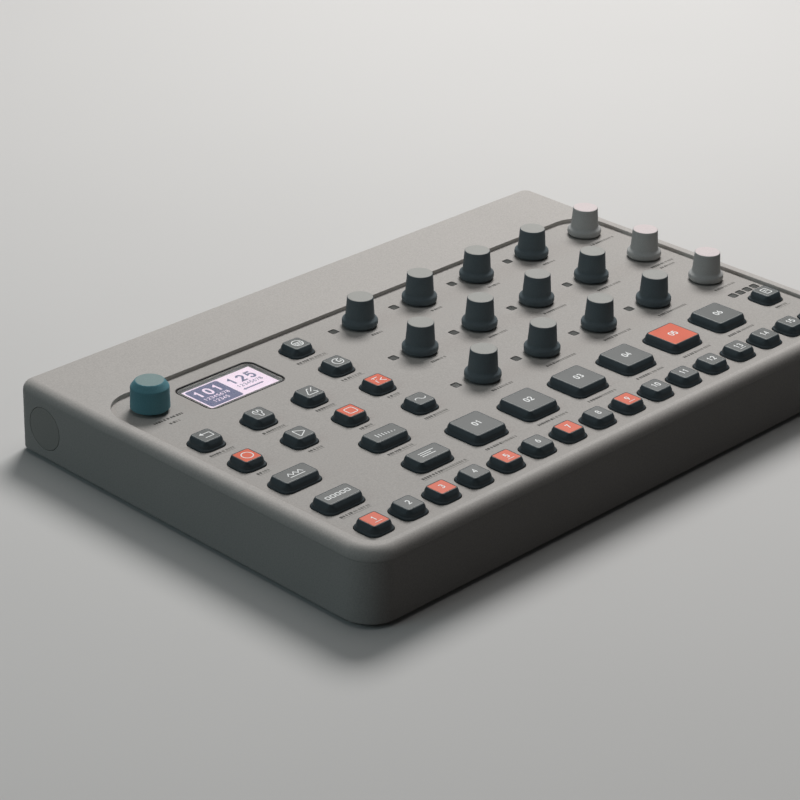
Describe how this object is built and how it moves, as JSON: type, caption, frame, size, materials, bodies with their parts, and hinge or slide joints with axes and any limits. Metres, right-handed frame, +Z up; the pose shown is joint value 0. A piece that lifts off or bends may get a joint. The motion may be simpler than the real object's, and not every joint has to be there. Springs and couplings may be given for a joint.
{
  "type": "drum machine",
  "caption": "Desktop drum machine: shallow case with sunk control panel, row of step keys, square pads, function keys, knobs, small display and rear sockets.",
  "frame": {"origin": "on the standing surface, under the middle of the case", "axes": "+X to the right along the row of step keys, +Y from front to back, +Z up"},
  "size_m": [0.273, 0.179, 0.0395],
  "materials": {
    "case_shell": "fine-grained warm light grey moulding",
    "base_plate": "fine-grained dark grey moulding",
    "feet_and_screws": "soft black rubber feet, zinc-plated screws, grey plugs",
    "board": "green laminate with dark switches and steel encoder bodies",
    "display_glass": "clear polished window over a lit panel",
    "socket_plastic": "black moulded sockets with metal contacts",
    "slider_plastic": "black moulding with grip grooves",
    "teal_knob": "soft-touch teal",
    "dark_knob": "soft-touch blue-black",
    "grey_knob": "soft-touch mid grey",
    "key_plastic": "satin blue-black cap round a translucent light window"
  },
  "bodies": {
    "case": {"top_case": "case_shell", "bottom_case": "base_plate", "case_hardware": "feet_and_screws", "circuit_board": "board", "display": "display_glass", "rear_connectors": "socket_plastic"},
    "power_switch": {"power_switch": "slider_plastic"},
    "data_knob": {"data_knob": "teal_knob"},
    "control_knob_1": {"control_knob_1": "dark_knob"},
    "control_knob_2": {"control_knob_2": "dark_knob"},
    "control_knob_3": {"control_knob_3": "dark_knob"},
    "control_knob_4": {"control_knob_4": "dark_knob"},
    "control_knob_5": {"control_knob_5": "dark_knob"},
    "control_knob_6": {"control_knob_6": "dark_knob"},
    "control_knob_7": {"control_knob_7": "dark_knob"},
    "control_knob_8": {"control_knob_8": "dark_knob"},
    "control_knob_9": {"control_knob_9": "dark_knob"},
    "control_knob_10": {"control_knob_10": "dark_knob"},
    "control_knob_11": {"control_knob_11": "dark_knob"},
    "control_knob_12": {"control_knob_12": "dark_knob"},
    "side_knob_1": {"side_knob_1": "grey_knob"},
    "side_knob_2": {"side_knob_2": "grey_knob"},
    "side_knob_3": {"side_knob_3": "grey_knob"},
    "trig_key_1": {"trig_key_1": "key_plastic"},
    "trig_key_2": {"trig_key_2": "key_plastic"},
    "trig_key_3": {"trig_key_3": "key_plastic"},
    "trig_key_4": {"trig_key_4": "key_plastic"},
    "trig_key_5": {"trig_key_5": "key_plastic"},
    "trig_key_6": {"trig_key_6": "key_plastic"},
    "trig_key_7": {"trig_key_7": "key_plastic"},
    "trig_key_8": {"trig_key_8": "key_plastic"},
    "trig_key_9": {"trig_key_9": "key_plastic"},
    "trig_key_10": {"trig_key_10": "key_plastic"},
    "trig_key_11": {"trig_key_11": "key_plastic"},
    "trig_key_12": {"trig_key_12": "key_plastic"},
    "trig_key_13": {"trig_key_13": "key_plastic"},
    "trig_key_14": {"trig_key_14": "key_plastic"},
    "trig_key_15": {"trig_key_15": "key_plastic"},
    "trig_key_16": {"trig_key_16": "key_plastic"},
    "pad_1": {"pad_1": "key_plastic"},
    "pad_2": {"pad_2": "key_plastic"},
    "pad_3": {"pad_3": "key_plastic"},
    "pad_4": {"pad_4": "key_plastic"},
    "pad_5": {"pad_5": "key_plastic"},
    "pad_6": {"pad_6": "key_plastic"},
    "return_key": {"return_key": "key_plastic"},
    "record_key": {"record_key": "key_plastic"},
    "settings_key": {"settings_key": "key_plastic"},
    "play_key": {"play_key": "key_plastic"},
    "metronome_key": {"metronome_key": "key_plastic"},
    "stop_key": {"stop_key": "key_plastic"},
    "wave_key": {"wave_key": "key_plastic"},
    "mute_key": {"mute_key": "key_plastic"},
    "tempo_key": {"tempo_key": "key_plastic"},
    "menu_key": {"menu_key": "key_plastic"},
    "pattern_key": {"pattern_key": "key_plastic"},
    "function_key": {"function_key": "key_plastic"},
    "track_key": {"track_key": "key_plastic"},
    "retrigger_key": {"retrigger_key": "key_plastic"},
    "page_key": {"page_key": "key_plastic"}
  },
  "joints": [
    {"name": "data_knob_turn", "type": "hinge", "parent": "case", "child": "data_knob", "pos_m": [-0.116, 0.04054, 0.02694], "axis": [0, 0.0105, 0.9999], "continuous": true},
    {"name": "control_knob_1_turn", "type": "hinge", "parent": "case", "child": "control_knob_1", "pos_m": [-0.01175, 0.04039, 0.02694], "axis": [0, 0.0105, 0.9999], "continuous": true},
    {"name": "control_knob_2_turn", "type": "hinge", "parent": "case", "child": "control_knob_2", "pos_m": [0.02065, 0.04039, 0.02694], "axis": [0, 0.0105, 0.9999], "continuous": true},
    {"name": "control_knob_3_turn", "type": "hinge", "parent": "case", "child": "control_knob_3", "pos_m": [0.05305, 0.04039, 0.02694], "axis": [0, 0.0105, 0.9999], "continuous": true},
    {"name": "control_knob_4_turn", "type": "hinge", "parent": "case", "child": "control_knob_4", "pos_m": [0.08545, 0.04039, 0.02694], "axis": [0, 0.0105, 0.9999], "continuous": true},
    {"name": "control_knob_5_turn", "type": "hinge", "parent": "case", "child": "control_knob_5", "pos_m": [-0.01175, 0.0089, 0.02727], "axis": [0, 0.0105, 0.9999], "continuous": true},
    {"name": "control_knob_6_turn", "type": "hinge", "parent": "case", "child": "control_knob_6", "pos_m": [0.02065, 0.0089, 0.02727], "axis": [0, 0.0105, 0.9999], "continuous": true},
    {"name": "control_knob_7_turn", "type": "hinge", "parent": "case", "child": "control_knob_7", "pos_m": [0.05305, 0.0089, 0.02727], "axis": [0, 0.0105, 0.9999], "continuous": true},
    {"name": "control_knob_8_turn", "type": "hinge", "parent": "case", "child": "control_knob_8", "pos_m": [0.08545, 0.0089, 0.02727], "axis": [0, 0.0105, 0.9999], "continuous": true},
    {"name": "control_knob_9_turn", "type": "hinge", "parent": "case", "child": "control_knob_9", "pos_m": [-0.01175, -0.0226, 0.0276], "axis": [0, 0.0105, 0.9999], "continuous": true},
    {"name": "control_knob_10_turn", "type": "hinge", "parent": "case", "child": "control_knob_10", "pos_m": [0.02065, -0.0226, 0.0276], "axis": [0, 0.0105, 0.9999], "continuous": true},
    {"name": "control_knob_11_turn", "type": "hinge", "parent": "case", "child": "control_knob_11", "pos_m": [0.05305, -0.0226, 0.0276], "axis": [0, 0.0105, 0.9999], "continuous": true},
    {"name": "control_knob_12_turn", "type": "hinge", "parent": "case", "child": "control_knob_12", "pos_m": [0.08545, -0.0226, 0.0276], "axis": [0, 0.0105, 0.9999], "continuous": true},
    {"name": "side_knob_1_turn", "type": "hinge", "parent": "case", "child": "side_knob_1", "pos_m": [0.11785, 0.04039, 0.02694], "axis": [0, 0.0105, 0.9999], "continuous": true},
    {"name": "side_knob_2_turn", "type": "hinge", "parent": "case", "child": "side_knob_2", "pos_m": [0.11785, 0.0089, 0.02727], "axis": [0, 0.0105, 0.9999], "continuous": true},
    {"name": "side_knob_3_turn", "type": "hinge", "parent": "case", "child": "side_knob_3", "pos_m": [0.11785, -0.0226, 0.0276], "axis": [0, 0.0105, 0.9999], "continuous": true},
    {"name": "trig_key_1_press", "type": "slide", "parent": "case", "child": "trig_key_1", "axis": [0, -0.0105, -0.9999], "range_m": [0, 0.0012], "stiffness_N_per_m": 1500},
    {"name": "trig_key_2_press", "type": "slide", "parent": "case", "child": "trig_key_2", "axis": [0, -0.0105, -0.9999], "range_m": [0, 0.0012], "stiffness_N_per_m": 1500},
    {"name": "trig_key_3_press", "type": "slide", "parent": "case", "child": "trig_key_3", "axis": [0, -0.0105, -0.9999], "range_m": [0, 0.0012], "stiffness_N_per_m": 1500},
    {"name": "trig_key_4_press", "type": "slide", "parent": "case", "child": "trig_key_4", "axis": [0, -0.0105, -0.9999], "range_m": [0, 0.0012], "stiffness_N_per_m": 1500},
    {"name": "trig_key_5_press", "type": "slide", "parent": "case", "child": "trig_key_5", "axis": [0, -0.0105, -0.9999], "range_m": [0, 0.0012], "stiffness_N_per_m": 1500},
    {"name": "trig_key_6_press", "type": "slide", "parent": "case", "child": "trig_key_6", "axis": [0, -0.0105, -0.9999], "range_m": [0, 0.0012], "stiffness_N_per_m": 1500},
    {"name": "trig_key_7_press", "type": "slide", "parent": "case", "child": "trig_key_7", "axis": [0, -0.0105, -0.9999], "range_m": [0, 0.0012], "stiffness_N_per_m": 1500},
    {"name": "trig_key_8_press", "type": "slide", "parent": "case", "child": "trig_key_8", "axis": [0, -0.0105, -0.9999], "range_m": [0, 0.0012], "stiffness_N_per_m": 1500},
    {"name": "trig_key_9_press", "type": "slide", "parent": "case", "child": "trig_key_9", "axis": [0, -0.0105, -0.9999], "range_m": [0, 0.0012], "stiffness_N_per_m": 1500},
    {"name": "trig_key_10_press", "type": "slide", "parent": "case", "child": "trig_key_10", "axis": [0, -0.0105, -0.9999], "range_m": [0, 0.0012], "stiffness_N_per_m": 1500},
    {"name": "trig_key_11_press", "type": "slide", "parent": "case", "child": "trig_key_11", "axis": [0, -0.0105, -0.9999], "range_m": [0, 0.0012], "stiffness_N_per_m": 1500},
    {"name": "trig_key_12_press", "type": "slide", "parent": "case", "child": "trig_key_12", "axis": [0, -0.0105, -0.9999], "range_m": [0, 0.0012], "stiffness_N_per_m": 1500},
    {"name": "trig_key_13_press", "type": "slide", "parent": "case", "child": "trig_key_13", "axis": [0, -0.0105, -0.9999], "range_m": [0, 0.0012], "stiffness_N_per_m": 1500},
    {"name": "trig_key_14_press", "type": "slide", "parent": "case", "child": "trig_key_14", "axis": [0, -0.0105, -0.9999], "range_m": [0, 0.0012], "stiffness_N_per_m": 1500},
    {"name": "trig_key_15_press", "type": "slide", "parent": "case", "child": "trig_key_15", "axis": [0, -0.0105, -0.9999], "range_m": [0, 0.0012], "stiffness_N_per_m": 1500},
    {"name": "trig_key_16_press", "type": "slide", "parent": "case", "child": "trig_key_16", "axis": [0, -0.0105, -0.9999], "range_m": [0, 0.0012], "stiffness_N_per_m": 1500},
    {"name": "pad_1_press", "type": "slide", "parent": "case", "child": "pad_1", "axis": [0, -0.0105, -0.9999], "range_m": [0, 0.0012], "stiffness_N_per_m": 1500},
    {"name": "pad_2_press", "type": "slide", "parent": "case", "child": "pad_2", "axis": [0, -0.0105, -0.9999], "range_m": [0, 0.0012], "stiffness_N_per_m": 1500},
    {"name": "pad_3_press", "type": "slide", "parent": "case", "child": "pad_3", "axis": [0, -0.0105, -0.9999], "range_m": [0, 0.0012], "stiffness_N_per_m": 1500},
    {"name": "pad_4_press", "type": "slide", "parent": "case", "child": "pad_4", "axis": [0, -0.0105, -0.9999], "range_m": [0, 0.0012], "stiffness_N_per_m": 1500},
    {"name": "pad_5_press", "type": "slide", "parent": "case", "child": "pad_5", "axis": [0, -0.0105, -0.9999], "range_m": [0, 0.0012], "stiffness_N_per_m": 1500},
    {"name": "pad_6_press", "type": "slide", "parent": "case", "child": "pad_6", "axis": [0, -0.0105, -0.9999], "range_m": [0, 0.0012], "stiffness_N_per_m": 1500},
    {"name": "return_key_press", "type": "slide", "parent": "case", "child": "return_key", "axis": [0, -0.0105, -0.9999], "range_m": [0, 0.0012], "stiffness_N_per_m": 1500},
    {"name": "record_key_press", "type": "slide", "parent": "case", "child": "record_key", "axis": [0, -0.0105, -0.9999], "range_m": [0, 0.0012], "stiffness_N_per_m": 1500},
    {"name": "settings_key_press", "type": "slide", "parent": "case", "child": "settings_key", "axis": [0, -0.0105, -0.9999], "range_m": [0, 0.0012], "stiffness_N_per_m": 1500},
    {"name": "play_key_press", "type": "slide", "parent": "case", "child": "play_key", "axis": [0, -0.0105, -0.9999], "range_m": [0, 0.0012], "stiffness_N_per_m": 1500},
    {"name": "metronome_key_press", "type": "slide", "parent": "case", "child": "metronome_key", "axis": [0, -0.0105, -0.9999], "range_m": [0, 0.0012], "stiffness_N_per_m": 1500},
    {"name": "stop_key_press", "type": "slide", "parent": "case", "child": "stop_key", "axis": [0, -0.0105, -0.9999], "range_m": [0, 0.0012], "stiffness_N_per_m": 1500},
    {"name": "wave_key_press", "type": "slide", "parent": "case", "child": "wave_key", "axis": [0, -0.0105, -0.9999], "range_m": [0, 0.0012], "stiffness_N_per_m": 1500},
    {"name": "mute_key_press", "type": "slide", "parent": "case", "child": "mute_key", "axis": [0, -0.0105, -0.9999], "range_m": [0, 0.0012], "stiffness_N_per_m": 1500},
    {"name": "tempo_key_press", "type": "slide", "parent": "case", "child": "tempo_key", "axis": [0, -0.0105, -0.9999], "range_m": [0, 0.0012], "stiffness_N_per_m": 1500},
    {"name": "menu_key_press", "type": "slide", "parent": "case", "child": "menu_key", "axis": [0, -0.0105, -0.9999], "range_m": [0, 0.0012], "stiffness_N_per_m": 1500},
    {"name": "pattern_key_press", "type": "slide", "parent": "case", "child": "pattern_key", "axis": [0, -0.0105, -0.9999], "range_m": [0, 0.0012], "stiffness_N_per_m": 1500},
    {"name": "function_key_press", "type": "slide", "parent": "case", "child": "function_key", "axis": [0, -0.0105, -0.9999], "range_m": [0, 0.0012], "stiffness_N_per_m": 1500},
    {"name": "track_key_press", "type": "slide", "parent": "case", "child": "track_key", "axis": [0, -0.0105, -0.9999], "range_m": [0, 0.0012], "stiffness_N_per_m": 1500},
    {"name": "retrigger_key_press", "type": "slide", "parent": "case", "child": "retrigger_key", "axis": [0, -0.0105, -0.9999], "range_m": [0, 0.0012], "stiffness_N_per_m": 1500},
    {"name": "page_key_press", "type": "slide", "parent": "case", "child": "page_key", "axis": [0, -0.0105, -0.9999], "range_m": [0, 0.0012], "stiffness_N_per_m": 1500},
    {"name": "power_switch_slide", "type": "slide", "parent": "case", "child": "power_switch", "axis": [1, 0, 0], "range_m": [0, 0.0036]}
  ]
}
